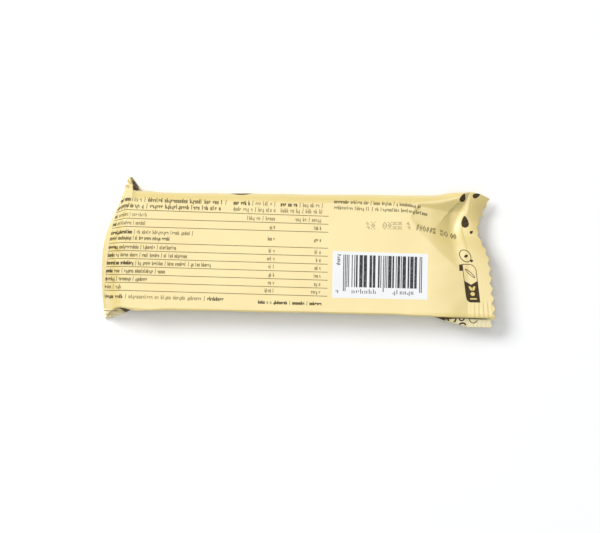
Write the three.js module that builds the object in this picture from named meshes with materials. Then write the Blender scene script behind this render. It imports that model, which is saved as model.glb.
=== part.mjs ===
// A shut flow pack round one snack bar, lying back up on a table.
// Millimetres, +X along the pack, +Z up. The film is one tube of constant girth, flattened
// and sealed at both ends: the left seal is folded under the bar, the right one lies out.
import * as THREE from 'three';

// Driving dimensions.
const GIRTH = 108.8; // the film once round the pack
const PACK_HEIGHT = 11.5; // over the bar
const CORNER_RADIUS = 4; // of the film where it turns down the bar's far side
const NEAR_RADIUS = 1.5; // the film is drawn tighter round the near side
const SEAL_THICKNESS = 0.6; // two sealed layers of film
const SIDE_TAPER = 0.00024; // growth of the width for each millimetre to the right
const BAR_SHIFT_Y = -0.4;
const TEETH = 14; // of each pinked end, across the flat width
const TOOTH_DEPTH = 1.2;
const SAMPLES_PER_TOOTH = 3;

// Left end: the fold line, the seal tucked under it and the two corner ears.
const FOLD_X = -75.7;
const FOLD_RADIUS = 0.8;
const FOLD_BOW = 0.0035; // how fast the fold line bows away from its leftmost place
const FOLD_BOW_Y = -7; // the leftmost place
const FOLD_TURN = { y: 5, softness: 3, slope: 0.33 }; // beyond y the fold line runs back to the far ear
const FOLD_BOW_LENGTH = 14; // the bow fades out over this length of the pack
const FOLD_SHIFT_Y = 1.4;
const TUCKED_SEAL = 9;
const FAR_EAR = { narrowing: 0.2, over: 4.5, power: 1 }; // how the tucked corners are folded in
const NEAR_EAR = { narrowing: 0.125, over: 9.5, power: 1.5 };
const NEAR_FLARE = 0.045; // the near ear spreads by this share at the fold
const END_LENGTH = 7; // from the fold line to the full height
const FOLD_LIFT_LENGTH = 2; // the underside settles over this length next to the fold
const TUCK_CLEARANCE = 1; // height of the underside over the tucked seal
const TUCK_END = [18, 25]; // from the fold line: where the underside comes down to the table

// Right end: the film closes from the bar's end to the root of the seal.
const CLOSE_FROM_X = 51;
const ROOT_X = 66.6;
const CLOSE_POWER = 1.7;
const ROOT_HEIGHT = 9.3;
const ROOT_SHIFT_Y = -2;
const FAR_DRAW = 0.02; // the far side draws in by this share at the root
const SEAL_LENGTH = 10;
const SEAL_BEND = 0.35; // share of the seal's fall that comes late, as a curl
const EDGE_X = 74.9; // the free edge at EDGE_Y
const EDGE_Y = -4;
const EDGE_SLANT = -0.075;
const EDGE_DRAW = 0.09; // the far side draws in by this share at the free edge
const EDGE_FALL = { least: 0.6, middle: 0.6, far: 3.4 }; // how far the free edge hangs down
const EDGE_FALL_Y = { middle: [-20, 5], far: [8, 20] };
const HOLLOW = { y: 10.5, rootWidth: 6, width: 8, atRoot: 2.4, atEdge: 3.9, sink: 0.9 };
const CORNER_FLARE = { size: 1.6, from: 19, to: 24 }; // the far corner sticks out
const CREASE_Y = -24; // the near edge of the upper sheet
const LIP_STEP = 1.4; // the film turns steeply down over this width, then flattens out
const LIP_ANGLES = [1.05, 0.5]; // radians below level, of the step and of the rest of the lip
const LIP_RETREAT = { size: 2, over: 4 }; // the lip's free edge runs back
const DENT = { from: [56.4, 12], to: [64.2, 20.6], depth: 2.6, width: [2.2, 8], reach: 1.3, edge: 1.3 };

const clamp = (value, low, high) => Math.min(Math.max(value, low), high);
const mix = (from, to, share) => from + (to - from) * share;
const ease = (value) => {
  const t = clamp(value, 0, 1);
  return t * t * (3 - 2 * t);
};
const easeBetween = (value, from, to) => ease((value - from) / (to - from));
const bell = (value, centre, width) => Math.exp(-(((value - centre) / width) ** 2));

// A rounded rectangle of the film's own girth: the point at arc length `along` from its top centre.
// The near side is squarer, and its lengths are stretched to suit.
function section(along, height) {
  const side = Math.sign(along);
  const width = GIRTH / 2 - height + (4 - Math.PI) * Math.min(CORNER_RADIUS, height / 2);
  const radius = Math.min(along < 0 ? NEAR_RADIUS : CORNER_RADIUS, height / 2);
  const flat = width / 2 - radius;
  const arc = (Math.PI / 2) * radius;
  const wall = height - 2 * radius;
  let rest = (Math.abs(along) * (2 * flat + 2 * arc + wall)) / (GIRTH / 2);
  if (rest < flat) return [side * rest, height / 2];
  rest -= flat;
  if (rest < arc) {
    const turn = rest / radius;
    return [side * (flat + radius * Math.sin(turn)), height / 2 - radius * (1 - Math.cos(turn))];
  }
  rest -= arc;
  if (rest < wall) return [side * (width / 2), height / 2 - radius - rest];
  rest -= wall;
  if (rest < arc) {
    const turn = rest / radius;
    return [side * (flat + radius * Math.cos(turn)), -height / 2 + radius * (1 - Math.sin(turn))];
  }
  rest -= arc;
  return [side * (flat - rest), -height / 2];
}

function foldLine(y) {
  const turned = FOLD_TURN.softness * Math.log(1 + Math.exp((y - FOLD_TURN.y) / FOLD_TURN.softness));
  return FOLD_X + FOLD_BOW * (y - FOLD_BOW_Y) ** 2 + FOLD_TURN.slope * turned;
}

const rootLine = (y) => ROOT_X - HOLLOW.atRoot * bell(y, HOLLOW.y, HOLLOW.rootWidth);
const rootHeight = (y) => ROOT_HEIGHT - HOLLOW.sink * bell(y, HOLLOW.y, HOLLOW.width);

function edgeLine(y) {
  const lip = LIP_RETREAT.size * clamp((CREASE_Y - y) / LIP_RETREAT.over, 0, 1);
  const flare = CORNER_FLARE.size * easeBetween(y, CORNER_FLARE.from, CORNER_FLARE.to);
  const hollow = HOLLOW.atEdge * bell(y, HOLLOW.y, HOLLOW.width);
  return EDGE_X + EDGE_SLANT * (y - EDGE_Y) - hollow + flare - lip;
}

// How far the free edge hangs below the root: least at the near corner, most at the far one.
function edgeFall(y) {
  const middle = EDGE_FALL.middle * easeBetween(y, ...EDGE_FALL_Y.middle);
  const far = EDGE_FALL.far * easeBetween(y, ...EDGE_FALL_Y.far);
  return EDGE_FALL.least + middle + far;
}

// The dent in the far corner: a crease that deepens towards the seal, with a flat on each side.
function dent(x, y) {
  const run = [DENT.to[0] - DENT.from[0], DENT.to[1] - DENT.from[1]];
  const length = Math.hypot(...run);
  const along = ((x - DENT.from[0]) * run[0] + (y - DENT.from[1]) * run[1]) / length;
  const across = ((x - DENT.from[0]) * run[1] - (y - DENT.from[1]) * run[0]) / length;
  const share = clamp(along / length, 0, DENT.reach);
  const width = mix(DENT.width[0], DENT.width[1], share);
  return DENT.depth * ease(share) * Math.max(0, 1 - Math.abs(across) / width) ** DENT.edge;
}

// Before the fold line the film runs round the fold from the seal tucked under the bar.
function tuckedPoint(station, along) {
  const [y, lift] = section(along, SEAL_THICKNESS);
  const past = FOLD_X - station;
  const turn = Math.min(past / FOLD_RADIUS, Math.PI);
  const back = past - turn * FOLD_RADIUS;
  const ear = y > 0 ? FAR_EAR : NEAR_EAR;
  const narrowed = ear.narrowing * clamp(back / ear.over, 0, 1) ** ear.power - (y > 0 ? 0 : NEAR_FLARE);
  const shifted = y * (1 - narrowed) + FOLD_SHIFT_Y;
  const x = foldLine(shifted) - FOLD_RADIUS * Math.sin(turn) - lift * Math.sin(turn) + back;
  const z = SEAL_THICKNESS / 2 + FOLD_RADIUS * (1 + Math.cos(turn)) + lift * Math.cos(turn);
  return [x, shifted, z];
}

function bodyPoint(station, along) {
  const rise = clamp((station - FOLD_X) / END_LENGTH, 0, 1);
  const closed = clamp((station - CLOSE_FROM_X) / (ROOT_X - CLOSE_FROM_X), 0, 1) ** CLOSE_POWER;
  const foldTop = SEAL_THICKNESS + 2 * FOLD_RADIUS;
  const clearance = mix(2 * FOLD_RADIUS, TUCK_CLEARANCE, ease((station - FOLD_X) / FOLD_LIFT_LENGTH));
  const floor = clearance * (1 - easeBetween(station - FOLD_X, ...TUCK_END));
  const top = mix(foldTop, PACK_HEIGHT, Math.sqrt(1 - (1 - rise) ** 2));
  const height = mix(top - floor, SEAL_THICKNESS, closed);
  const [flatY, lift] = section(along, height);
  const shiftY = mix(FOLD_SHIFT_Y, BAR_SHIFT_Y, ease((station - FOLD_X) / (2 * END_LENGTH)));
  const flare = NEAR_FLARE * (1 - ease(rise));
  const taper = 1 + SIDE_TAPER * station * (1 - closed) + (flatY > 0 ? -FAR_DRAW * closed : flare);
  const y = flatY * taper + mix(shiftY, ROOT_SHIFT_Y, closed);
  const sheared = 1 - ease((station - FOLD_X) / FOLD_BOW_LENGTH);
  const drawn = (rootLine(y) - ROOT_X) * closed;
  const x = station + (foldLine(y) - FOLD_X) * sheared + drawn;
  const low = mix(floor, rootHeight(y) - SEAL_THICKNESS / 2, closed);
  const upper = lift / height + 0.5;
  const sunk = dent(x, y) * mix(closed, 1, upper);
  return crease([x, y, low + lift + height / 2 - sunk], closed);
}

function sealPoint(station, along) {
  const share = (station - ROOT_X) / SEAL_LENGTH;
  const [flatY, lift] = section(along, SEAL_THICKNESS);
  const y = flatY * (flatY > 0 ? 1 - FAR_DRAW : 1) + ROOT_SHIFT_Y;
  const x = mix(rootLine(y), edgeLine(y), share);
  const fall = edgeFall(y) * mix(share, share * share, SEAL_BEND);
  const drawnIn = y - (y > 0 ? EDGE_DRAW * y * share * share : 0);
  const sunk = dent(rootLine(y), y) * (1 - share);
  return crease([x, drawnIn, rootHeight(y) + lift - fall - sunk], 1);
}

// The film beyond the upper sheet's near edge steps down and runs out as a lip.
function crease([x, y, z], closed) {
  const past = Math.max(0, CREASE_Y - y);
  const step = Math.min(past, LIP_STEP);
  const [stepAngle, lipAngle] = LIP_ANGLES.map((angle) => angle * closed);
  const out = step * Math.cos(stepAngle) + (past - step) * Math.cos(lipAngle);
  const down = step * Math.sin(stepAngle) + (past - step) * Math.sin(lipAngle);
  return [x, y + past - out, z - down];
}

function filmPoint(station, along) {
  if (station < FOLD_X) return tuckedPoint(station, along);
  if (station <= ROOT_X) return bodyPoint(station, along);
  return sealPoint(station, along);
}

// Stations along the film, closer together where it turns.
const spread = (from, to, steps, shape = (t) => t) =>
  Array.from({ length: steps }, (_, step) => mix(from, to, shape((step + 1) / steps)));

function stations() {
  const foldLength = Math.PI * FOLD_RADIUS;
  const edge = FOLD_X - foldLength - TUCKED_SEAL;
  return [
    edge,
    ...spread(edge, FOLD_X - foldLength, 4),
    ...spread(FOLD_X - foldLength, FOLD_X, 4),
    ...spread(FOLD_X, FOLD_X + END_LENGTH, 7, (t) => 1 - Math.cos((t * Math.PI) / 2)),
    ...spread(FOLD_X + END_LENGTH, FOLD_X + TUCK_END[1], 8),
    ...spread(FOLD_X + TUCK_END[1], CLOSE_FROM_X, 7),
    ...spread(CLOSE_FROM_X, ROOT_X, 10),
    ...spread(ROOT_X, ROOT_X + SEAL_LENGTH, 6),
  ];
}

function wrapper() {
  const around = 2 * SAMPLES_PER_TOOTH * TEETH;
  const rows = stations();
  const positions = [];
  const pinked = (k) => (k % SAMPLES_PER_TOOTH === 0 ? TOOTH_DEPTH / 2 : -TOOTH_DEPTH / 2);
  rows.forEach((station, row) => {
    for (let k = 0; k < around; k += 1) {
      const along = (k < around / 2 ? k : k - around) * (GIRTH / around);
      let outward = 0;
      if (row === 0) outward = -pinked(k);
      if (row === rows.length - 1) outward = pinked(k);
      positions.push(...filmPoint(station + outward, along));
    }
  });

  const faces = [];
  const face = (a, b, c) => {
    if (a !== b && b !== c && c !== a) faces.push(a, b, c);
  };
  const quad = (a, b, c, d) => {
    face(a, b, c);
    face(a, c, d);
  };
  for (let row = 0; row + 1 < rows.length; row += 1) {
    for (let k = 0; k < around; k += 1) {
      const next = (k + 1) % around;
      const here = row * around;
      const there = here + around;
      quad(here + k, there + k, there + next, here + next);
    }
  }
  // Each sealed end is closed by a strip from the upper layer's edge to the lower layer's;
  // at the two side points the layers meet, so the strip ends there in single triangles.
  const half = around / 2;
  const strip = (start, flip) => {
    const upper = (k) => start + ((k + around) % around);
    const lower = (k) => start + ((half - k) % around);
    for (let k = -half / 2; k < half / 2; k += 1) {
      const corners = [upper(k), lower(k), lower(k + 1), upper(k + 1)];
      if (flip) corners.reverse();
      quad(...corners);
    }
  };
  strip(0, true);
  strip((rows.length - 1) * around, false);

  const geometry = new THREE.BufferGeometry();
  geometry.setAttribute('position', new THREE.Float32BufferAttribute(positions, 3));
  geometry.setIndex(faces);
  geometry.computeBoundingBox();
  const box = geometry.boundingBox;
  geometry.translate(-(box.min.x + box.max.x) / 2, -(box.min.y + box.max.y) / 2, -box.min.z);
  geometry.computeVertexNormals();
  return geometry;
}

const film = new THREE.MeshStandardMaterial({ color: 0xfbe9a6, roughness: 0.45, metalness: 0 });
const pack = new THREE.Group();
const wrapperMesh = new THREE.Mesh(wrapper(), film);
wrapperMesh.name = 'wrapper';
pack.add(wrapperMesh);

export default pack;
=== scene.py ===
import math

import bpy
import numpy as np
from mathutils import Matrix, Vector


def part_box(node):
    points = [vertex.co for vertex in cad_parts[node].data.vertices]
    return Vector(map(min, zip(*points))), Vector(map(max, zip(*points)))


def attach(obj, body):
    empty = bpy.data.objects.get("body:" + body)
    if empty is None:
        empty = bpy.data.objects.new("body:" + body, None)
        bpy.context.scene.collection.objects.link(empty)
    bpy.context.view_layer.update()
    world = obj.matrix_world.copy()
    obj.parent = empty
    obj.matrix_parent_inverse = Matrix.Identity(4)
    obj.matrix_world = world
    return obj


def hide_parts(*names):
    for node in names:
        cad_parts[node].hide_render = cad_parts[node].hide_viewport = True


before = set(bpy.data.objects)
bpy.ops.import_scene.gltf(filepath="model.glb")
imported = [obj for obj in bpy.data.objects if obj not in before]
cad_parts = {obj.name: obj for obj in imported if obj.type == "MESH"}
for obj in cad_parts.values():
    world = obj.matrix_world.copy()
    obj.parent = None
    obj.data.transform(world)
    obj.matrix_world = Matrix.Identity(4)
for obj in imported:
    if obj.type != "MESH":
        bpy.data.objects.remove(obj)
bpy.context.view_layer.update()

WRAPPER_LOW, WRAPPER_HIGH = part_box("wrapper")
MM = 0.001

# ---- driving sizes of the film

# The tube: its girth and height, the radii of its edges, and the teeth of each cut edge.
GIRTH = 108.8
PACK_HEIGHT = (WRAPPER_HIGH.z - WRAPPER_LOW.z) / MM
CORNER_RADIUS = 4.0
NEAR_RADIUS = 0.8
SEAL_THICKNESS = 0.3
SIDE_TAPER = 0.00024
BAR_SHIFT_Y = -0.4
TEETH = 14
TOOTH_DEPTH = 1.2
TOOTH_SHIFT = dict(share=0.2, fade=(8.0, 25.0))

# The left end: the fold's line, the seal tucked under it, and the two ears.
FOLD_X = -75.7
FOLD_RADIUS = 0.8
FOLD_BOW = 0.0035
FOLD_BOW_Y = -7.0
FOLD_TURN = dict(y=5.0, softness=3.0, slope=0.33)
FOLD_EAR = dict(y=17.5, slope=0.355)
FOLD_BOW_LENGTH = 14.0
FOLD_SHIFT_Y = 1.4
TUCKED_SEAL = 9.0
FAR_EAR = dict(narrowing=0.2, over=6.0, power=1)
NEAR_EAR = dict(narrowing=0.125, over=9.5, power=1.5)
NEAR_FLARE = 0.045
END_LENGTH = 7.0
FOLD_LIFT_LENGTH = 2.0
TUCK_CLEARANCE = 1.0
TUCK_END = (18.0, 25.0)

# The right end: where the tube closes, the seal's root and its free edge, which falls towards
# the table. The hollow is the seal's dip at the far side.
CLOSE_FROM_X = 51.0
ROOT_X = 66.6
CLOSE_POWER = 1.7
ROOT_HEIGHT = 9.8
ROOT_SHIFT_Y = -2.0
FAR_DRAW = 0.02
SEAL_LENGTH = 10.0
SEAL_BEND = 0.35
EDGE_X, EDGE_Y = 74.9, -4.0
EDGE_SLANT = -0.075
EDGE_DRAW = 0.09
EDGE_CORNER = dict(y=-9.0, slant=0.055)
EDGE_FALL = dict(least=0.4, middle=0.5, far=3.9)
EDGE_FALL_Y = dict(middle=(-20.0, 5.0), far=(8.0, 20.0))
HOLLOW = dict(y=10.5, root_width=6.0, width=8.0, at_root=2.4, at_edge=3.9, sink=0.9)
CORNER_FLARE = dict(size=1.6, start=19.0, end=24.0)
# The crease at the upper sheet's near edge, and the lip of film that runs out beyond it.
CREASE_Y = -24.0
CREASE_SLANT = 0.02
LIP_STEP = 1.4
LIP_ANGLES = (1.2, 0.3)
LIP_RETREAT = dict(size=2.0, over=4.0)
# The far corner's dent: a crease with a side each way. The left one narrows from start to end.
DENT = dict(start=(57.4, 3.0), end=(65.2, 21.5), depth=1.8, growth=1.6)
DENT_SIDES = dict(left=(12.0, 1.7), right=12.0)

FOLD_LENGTH = math.pi * FOLD_RADIUS
TUCKED_EDGE = FOLD_X - FOLD_LENGTH - TUCKED_SEAL
FREE_EDGE = ROOT_X + SEAL_LENGTH
LAYER = GIRTH / 2

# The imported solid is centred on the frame's origin, and the formulas below are not.
CAD_SEAL = 0.6
SHIFT_X = WRAPPER_LOW.x / MM - (FOLD_X - FOLD_RADIUS - CAD_SEAL / 2)
SHIFT_Y = WRAPPER_HIGH.y / MM - (GIRTH / 4 + FOLD_SHIFT_Y)
# Places of print are read from this far left of the film's own zero.
PRINT_SHIFT_X = SHIFT_X + 0.342

# ---- curves and blends


def mix(start, end, share):
    """The straight blend from start to end."""
    return start + (end - start) * share


def ease(value):
    """The smooth step of a value held to 0..1: three of its squares less two of its cubes."""
    t = np.clip(value, 0.0, 1.0)
    return t * t * (3 - 2 * t)


def ease_between(value, start, end):
    return ease((value - start) / (end - start))


def plateau(value, rise, fall):
    """Up from 0 to 1 over the span `rise`, and down again over the span `fall`."""
    return ease_between(value, *rise) * (1 - ease_between(value, *fall))


def bell(value, centre, width):
    """1 at the centre, falling as the exponential of minus the square of widths away."""
    return np.exp(-(((value - centre) / width) ** 2))


def ripples(a, b, scale, seed, waves=5):
    """Smooth noise from -1 to 1: the mean of sine waves with seeded directions and phases."""
    rng = np.random.default_rng(seed)
    angle = rng.uniform(0, math.tau, waves)
    phase = rng.uniform(0, math.tau, waves)
    rate = math.tau / scale * rng.uniform(0.6, 1.5, waves)
    total = 0
    for turn, start, speed in zip(angle, phase, rate):
        total = total + np.sin((a * math.cos(turn) + b * math.sin(turn)) * speed + start)
    return total / waves


# ---- the film as a surface


def section(along, height):
    """A rounded rectangle of the film's own girth: width = half girth - height + (4 - pi) radius.
    Gives the point (y, z) at film length `along` from the middle of its top. The near side is
    squarer, and its lengths are stretched to suit."""
    side = np.sign(along)
    width = LAYER - height + (4 - math.pi) * np.minimum(CORNER_RADIUS, height / 2)
    radius = np.minimum(np.where(along < 0, NEAR_RADIUS, CORNER_RADIUS), height / 2)
    flat = width / 2 - radius
    arc = math.pi / 2 * radius
    wall = height - 2 * radius
    rest = np.abs(along) * (width + height - (4 - math.pi) * radius) / LAYER
    lower_arc = flat + arc + wall
    upper = (rest - flat) / radius
    lower = (rest - lower_arc) / radius
    where = [rest < flat, rest < flat + arc, rest < lower_arc, rest < lower_arc + arc]
    across = [rest, flat + radius * np.sin(upper), width / 2, flat + radius * np.cos(lower)]
    up = [
        height / 2,
        height / 2 - radius * (1 - np.cos(upper)),
        height / 2 - radius - (rest - flat - arc),
        -height / 2 + radius * (1 - np.sin(lower)),
    ]
    y = np.select(where, [a + 0 * rest for a in across], flat - (rest - lower_arc - arc))
    z = np.select(where, [u + 0 * rest for u in up], -height / 2)
    return side * y, z


def fold_line(y):
    """A parabola that turns away at the far side, and runs on straight from the ear's root."""
    soft = FOLD_TURN["softness"]
    ear = np.maximum(0, y - FOLD_EAR["y"])
    y = y - ear
    turned = soft * np.log1p(np.exp((y - FOLD_TURN["y"]) / soft))
    bowed = FOLD_X + FOLD_BOW * (y - FOLD_BOW_Y) ** 2
    return bowed + FOLD_TURN["slope"] * turned + FOLD_EAR["slope"] * ear


def root_line(y):
    """The free seal's root: straight across, drawn back by a bell at the hollow."""
    return ROOT_X - HOLLOW["at_root"] * bell(y, HOLLOW["y"], HOLLOW["root_width"])


def root_height(y):
    """Height of the root: level, and sunk by a bell at the hollow."""
    return ROOT_HEIGHT - HOLLOW["sink"] * bell(y, HOLLOW["y"], HOLLOW["width"])


def edge_line(y):
    """The free edge: a slant with a hollow, a flare at the far corner, the lip's retreat at the
    near one, and a steeper slant beside that."""
    lip = LIP_RETREAT["size"] * np.clip((CREASE_Y - y) / LIP_RETREAT["over"], 0, 1)
    flare = CORNER_FLARE["size"] * ease_between(y, CORNER_FLARE["start"], CORNER_FLARE["end"])
    hollow = HOLLOW["at_edge"] * bell(y, HOLLOW["y"], HOLLOW["width"])
    corner = EDGE_CORNER["slant"] * np.maximum(0, EDGE_CORNER["y"] - y)
    return EDGE_X + EDGE_SLANT * (y - EDGE_Y) - hollow + flare - lip + corner


def edge_fall(y):
    """How far the free edge lies below the root: least, and two eased steps to the far side."""
    middle = EDGE_FALL["middle"] * ease_between(y, *EDGE_FALL_Y["middle"])
    far = EDGE_FALL["far"] * ease_between(y, *EDGE_FALL_Y["far"])
    return EDGE_FALL["least"] + middle + far


def dent(x, y):
    """The far corner's dent: depth falls off linearly to both sides of a crease that deepens."""
    (x0, y0), (x1, y1) = DENT["start"], DENT["end"]
    length = math.hypot(x1 - x0, y1 - y0)
    along = ((x - x0) * (x1 - x0) + (y - y0) * (y1 - y0)) / length
    across = ((x - x0) * (y1 - y0) - (y - y0) * (x1 - x0)) / length
    share = np.clip(along / length, 0, 1)
    left = mix(*DENT_SIDES["left"], np.sqrt(share))
    width = np.where(across < 0, left, DENT_SIDES["right"])
    slope = np.maximum(0, 1 - np.abs(across) / width)
    return DENT["depth"] * ease(share * DENT["growth"]) * slope


def crease_line(x):
    """The crease's place across the pack: it slants outwards from where the tube closes."""
    return CREASE_Y - CREASE_SLANT * (x - CLOSE_FROM_X)


def crease(x, y, z, closed):
    """Film beyond the upper sheet's near edge steps down and runs out as a lip."""
    past = np.maximum(0, crease_line(x) - y)
    step = np.minimum(past, LIP_STEP)
    steep, slack = LIP_ANGLES[0] * closed, LIP_ANGLES[1] * closed
    out = step * np.cos(steep) + (past - step) * np.cos(slack)
    down = step * np.sin(steep) + (past - step) * np.sin(slack)
    return x, y + past - out, z - down


def ear_narrowing(ear, back):
    """Share of its width that the tucked seal has lost, a power of the distance from the fold."""
    return ear["narrowing"] * np.clip(back / ear["over"], 0, 1) ** ear["power"]


def tucked(station, along):
    """The seal under the bar, and the half turn of the fold, a circle of FOLD_RADIUS."""
    y, lift = section(along, SEAL_THICKNESS)
    past = np.maximum(FOLD_X - station, 0)
    turn = np.minimum(past / FOLD_RADIUS, math.pi)
    back = past - turn * FOLD_RADIUS
    far, near = ear_narrowing(FAR_EAR, back), ear_narrowing(NEAR_EAR, back)
    y = y * (1 - np.where(y > 0, far, near - NEAR_FLARE)) + FOLD_SHIFT_Y
    x = fold_line(y) - (FOLD_RADIUS + lift) * np.sin(turn) + back
    z = SEAL_THICKNESS / 2 + FOLD_RADIUS * (1 + np.cos(turn)) + lift * np.cos(turn)
    return x, y, z


def body(station, along):
    """Sections over the bar: a quarter ellipse up from the fold, a power curve to the root."""
    rise = np.clip((station - FOLD_X) / END_LENGTH, 0, 1)
    closed = np.clip((station - CLOSE_FROM_X) / (ROOT_X - CLOSE_FROM_X), 0, 1) ** CLOSE_POWER
    settle = ease((station - FOLD_X) / FOLD_LIFT_LENGTH)
    floor = mix(2 * FOLD_RADIUS, TUCK_CLEARANCE, settle)
    floor = floor * (1 - ease_between(station - FOLD_X, *TUCK_END))
    top = mix(SEAL_THICKNESS + 2 * FOLD_RADIUS, PACK_HEIGHT, np.sqrt(1 - (1 - rise) ** 2))
    height = mix(top - floor, SEAL_THICKNESS, closed)
    flat_y, lift = section(along, height)
    shift = mix(FOLD_SHIFT_Y, BAR_SHIFT_Y, ease((station - FOLD_X) / (2 * END_LENGTH)))
    drawn = np.where(flat_y > 0, -FAR_DRAW * closed, NEAR_FLARE * (1 - ease(rise)))
    taper = 1 + SIDE_TAPER * station * (1 - closed) + drawn
    y = flat_y * taper + mix(shift, ROOT_SHIFT_Y, closed)
    sheared = 1 - ease((station - FOLD_X) / FOLD_BOW_LENGTH)
    x = station + (fold_line(y) - FOLD_X) * sheared + (root_line(y) - ROOT_X) * closed
    low = mix(floor, root_height(y) - SEAL_THICKNESS / 2, closed)
    sunk = dent(x, y) * mix(closed, 1, lift / height + 0.5)
    return crease(x, y, low + lift + height / 2 - sunk, closed)


def free_seal(station, along):
    """The seal that lies out, from its root line to its free edge, falling towards the edge."""
    share = (station - ROOT_X) / SEAL_LENGTH
    flat_y, lift = section(along, SEAL_THICKNESS)
    y = flat_y * np.where(flat_y > 0, 1 - FAR_DRAW, 1) + ROOT_SHIFT_Y
    x = mix(root_line(y), edge_line(y), share)
    fall = edge_fall(y) * mix(share, share * share, SEAL_BEND)
    drawn = y - np.where(y > 0, EDGE_DRAW * y * share * share, 0)
    sunk = dent(root_line(y), y) * (1 - share)
    return crease(x, drawn, root_height(y) + lift - fall - sunk, 1.0)


def smooth_film(station, along):
    """The film without its fine relief, (..., 3). Each stretch has its own formula."""
    left = tucked(np.minimum(station, FOLD_X), along)
    middle = body(np.clip(station, FOLD_X, ROOT_X), along)
    right = free_seal(np.maximum(station, ROOT_X), along)
    where = [station < FOLD_X, station <= ROOT_X]
    x, y, z = (np.select(where, [left[i], middle[i]], right[i]) for i in range(3))
    return np.stack([x + SHIFT_X, y + SHIFT_Y, z], axis=-1)


def film_normals(station, along, step=0.02):
    """Unit normals out of the pack: differences lengthwise crossed with differences round it."""
    lengthwise = smooth_film(station + step, along) - smooth_film(station - step, along)
    round_it = smooth_film(station, along + step) - smooth_film(station, along - step)
    normal = np.cross(lengthwise, round_it)
    return normal / np.maximum(np.linalg.norm(normal, axis=-1, keepdims=True), 1e-12)


# ---- relief of the film

# Crimps along the free seal: strongest at the near side, between two places across the pack.
CRIMP = dict(pitch=1.7, height=0.1, strength=(0.05, 0.5), y=(-20.5, -16.5))
CRIMPED = dict(rise=(0.08, 0.2), fall=(0.93, 1.0))
TUCKED_CRIMP = dict(pitch=1.5, height=0.06, rim=0.8)
# Gathers over the two ears. Those of the far one turn at a ridge.
GATHER_HEIGHT = 0.22
FAR_GATHER = dict(pitch=1.7, y=(22.2, 24.0), x=(-60.0, -57.0))
NEAR_GATHER = dict(pitch=1.36, y=(22.9, 24.2), x=(-62.0, -59.0))
EAR_RIDGE = dict(x=-66.0, slope=0.9)
# Soft waves of the skin: height, scale and seed of their ripples, and the stretch of each axis.
WAVES = dict(
    bar=(0.16, 36.0, 3, (1, 0.7)),
    walls=(0.12, 13.0, 8, (1, 0.4)),
    root=(0.16, 6.5, 12, (0.25, 1)),
    fold=(0.14, 7.0, 21, (0.3, 1)),
)
# Where they are: over the bar, on its walls, and in bells at the root and over the fold.
BAR_SKIN = dict(rise=(FOLD_X + 3, FOLD_X + 16), fall=(60.0, 66.0))
WALL_SKIN_Y = (18.0, 22.5)
ROOT_SKIN = dict(centre=ROOT_X - 3, width=6.0)
FOLD_SKIN = dict(centre=FOLD_X + 5.5, width=4.5)
# The flat facet that sinks from a sharp bend towards the dented corner: its edges at each x.
FACET = dict(
    x=(43.5, 47.4, 62.8, 68.0), far=(13.5, 19.75, 22.3, 23.0), near=(13.5, 7.9, -6.0, -9.0)
)
FACET_SLOPE = 0.14
FACET_WALLS = dict(far=0.4, near=0.12)
FACET_DEPTH = 2.4
FACET_END = (60.0, 66.5)
# The raised rim beside the lip's crease, and the film's least height over the table.
NEAR_RIM = dict(y=-24.0, width=0.55, height=0.28, x=(38.0, 46.0))
RESTING = 0.07
# Where the upper sheet's own relief ends, and how near a side edge a sheet's normals are read.
UPPER_SHEET = (LAYER / 2 - 5, LAYER / 2)
NORMAL_INSET = 0.4
# The stretch of film that carries print.
PRINTED = (FOLD_X - 1.2, FREE_EDGE - 0.1)


def sheet_relief(station, point):
    """Heights that both layers of a seal share: crimps along it, and gathers over the ears."""
    x, y = point[..., 0], point[..., 1]
    share = (station - ROOT_X) / SEAL_LENGTH
    strength = mix(*CRIMP["strength"], 1 - ease_between(y, *CRIMP["y"]))
    crimps = np.sin(math.tau * share * SEAL_LENGTH / CRIMP["pitch"])
    crimps = plateau(share, **CRIMPED) * strength * crimps
    back, rim = FOLD_X - FOLD_LENGTH - station, TUCKED_CRIMP["rim"]
    in_tuck = plateau(back, (0.0, rim), (TUCKED_SEAL - rim, TUCKED_SEAL))
    tuck_crimps = in_tuck * np.sin(math.tau * back / TUCKED_CRIMP["pitch"])
    ridge = EAR_RIDGE["slope"] * np.abs(x - EAR_RIDGE["x"])
    gathers = 0
    for ear, out, phase in ((FAR_GATHER, y, y + ridge), (NEAR_GATHER, -y, y)):
        on_ear = ease_between(out, *ear["y"]) * (1 - ease_between(x, *ear["x"]))
        gathers = gathers + on_ear * np.sin(math.tau * phase / ear["pitch"])
    crimped = CRIMP["height"] * crimps + TUCKED_CRIMP["height"] * tuck_crimps
    return crimped + GATHER_HEIGHT * gathers


def facet(station, point):
    """Depth of the sunk facet: it falls lengthwise from its apex, between two steeper walls."""
    x, y = point[..., 0], point[..., 1]
    from_far = np.interp(x, FACET["x"], FACET["far"]) - y
    from_near = y - np.interp(x, FACET["x"], FACET["near"])
    walls = np.minimum(from_far * FACET_WALLS["far"], from_near * FACET_WALLS["near"])
    sunk = np.minimum(np.minimum(FACET_SLOPE * (x - FACET["x"][0]), walls), FACET_DEPTH)
    return np.maximum(0, sunk) * (1 - ease_between(station, *FACET_END))


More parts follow.
